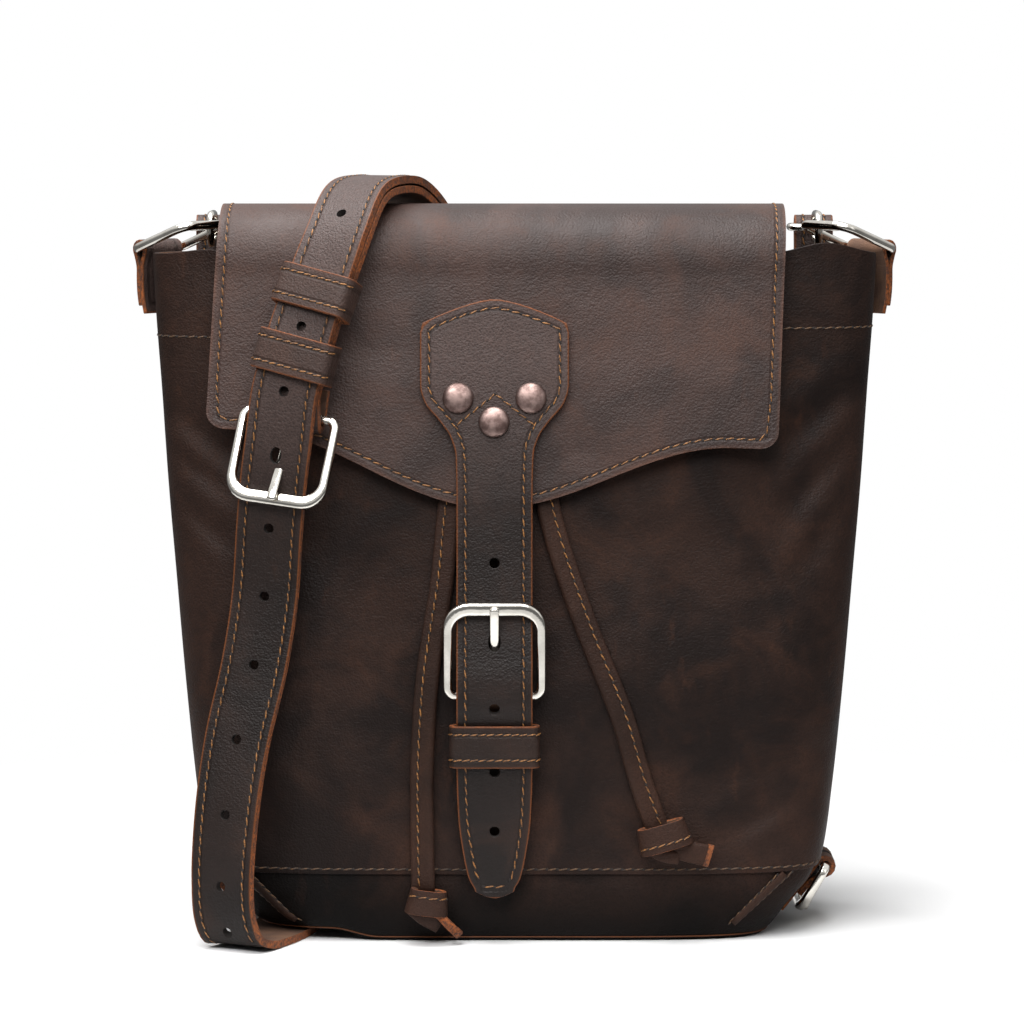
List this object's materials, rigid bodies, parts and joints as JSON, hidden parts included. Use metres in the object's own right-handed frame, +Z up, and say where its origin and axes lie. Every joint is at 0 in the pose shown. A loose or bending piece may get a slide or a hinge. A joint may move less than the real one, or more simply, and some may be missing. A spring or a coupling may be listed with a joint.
{
  "type": "convertible crossbody bag",
  "caption": "Dark brown leather crossbody bag with a buckled flap, drawstrings, a shoulder strap hung over its front and corner buckles for wearing it as a backpack.",
  "frame": {"origin": "centre of the bottom of the overall box, on the surface that the bag stands on", "axes": "+Z up, the flap and buckle face -Y, +X to the right of a viewer who faces the flap"},
  "size_m": [0.2984, 0.1447, 0.2919],
  "materials": {
    "body_leather": "oiled pull-up leather, dark coffee brown, fine grain",
    "strap_leather": "oiled leather strap with raw tan edges and tan stitching",
    "nickel": "polished nickel",
    "copper": "antique copper"
  },
  "bodies": {
    "bag": {"body_front": "body_leather", "body_back": "body_leather", "base": "body_leather", "flap": "body_leather", "closure_strap": "strap_leather", "front_buckle_tab": "strap_leather", "front_keeper": "strap_leather", "strap_long": "strap_leather", "strap_short": "strap_leather", "strap_keeper_upper": "strap_leather", "strap_keeper_lower": "strap_leather", "side_tab_left": "strap_leather", "side_tab_right": "strap_leather", "lower_tab_left": "strap_leather", "lower_tab_right": "strap_leather", "drawstring_left": "strap_leather", "drawstring_right": "strap_leather", "knot_left": "strap_leather", "knot_right": "strap_leather", "front_buckle": "nickel", "front_prong": "nickel", "strap_buckle": "nickel", "strap_prong": "nickel", "ring_left": "nickel", "ring_right": "nickel", "clip_left": "nickel", "clip_right": "nickel", "rivet_left": "copper", "rivet_right": "copper", "rivet_low": "copper"},
    "lower_buckle_left": {"lower_buckle_left": "nickel"},
    "lower_buckle_right": {"lower_buckle_right": "nickel"},
    "lower_prong_left": {"lower_prong_left": "nickel"},
    "lower_prong_right": {"lower_prong_right": "nickel"}
  },
  "joints": [
    {"name": "lower_buckle_left_swing", "type": "hinge", "parent": "bag", "child": "lower_buckle_left", "pos_m": [-0.1212, -0.0024, 0.02302], "axis": [0, 1, 0], "range_deg": [0, 110]},
    {"name": "lower_prong_left_swing", "type": "hinge", "parent": "lower_buckle_left", "child": "lower_prong_left", "pos_m": [-0.1212, -0.0024, 0.02302], "axis": [0, 1, 0], "range_deg": [0, 60]},
    {"name": "lower_buckle_right_swing", "type": "hinge", "parent": "bag", "child": "lower_buckle_right", "pos_m": [0.1212, -0.0024, 0.02302], "axis": [0, -1, 0], "range_deg": [0, 110]},
    {"name": "lower_prong_right_swing", "type": "hinge", "parent": "lower_buckle_right", "child": "lower_prong_right", "pos_m": [0.1212, -0.0024, 0.02302], "axis": [0, -1, 0], "range_deg": [0, 60]}
  ]
}
